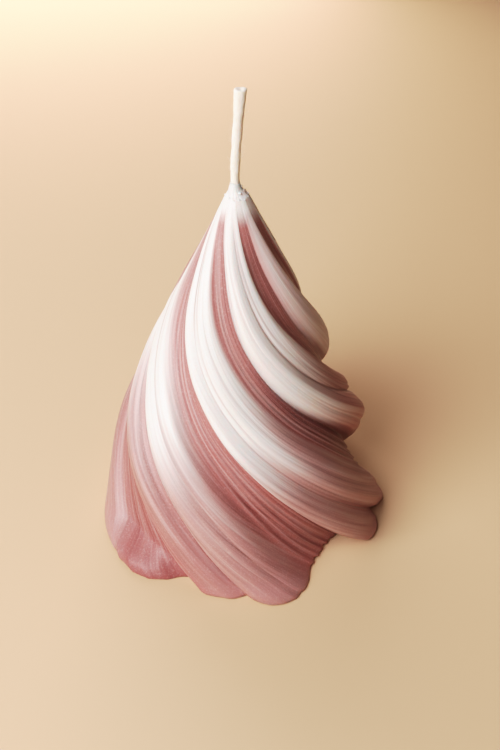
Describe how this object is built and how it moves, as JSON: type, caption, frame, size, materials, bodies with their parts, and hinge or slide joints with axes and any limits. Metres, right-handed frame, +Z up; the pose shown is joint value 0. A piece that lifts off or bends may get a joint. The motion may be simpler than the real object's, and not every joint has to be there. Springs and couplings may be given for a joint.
{
  "type": "spiral candle",
  "caption": "Pointed candle with deep folds twisting from a wide flat foot to the tip, white wax along the folds over a rose body, and an upright cotton wick.",
  "frame": {"origin": "centre of the flat foot, on the table", "axes": "+Z up through the wick; the sharp edge of one fold meets the table on the -Y side, which faces the picture's viewer"},
  "size_m": [0.0794, 0.0803, 0.1204],
  "materials": {
    "rose_wax": "satin, slightly translucent dusty rose wax",
    "white_wax": "satin, slightly translucent warm white wax",
    "cotton_wick": "matt waxed cotton braid"
  },
  "bodies": {
    "root": {"rose_wax_body": "rose_wax", "white_wax_pour": "white_wax", "wick": "cotton_wick"}
  },
  "joints": []
}
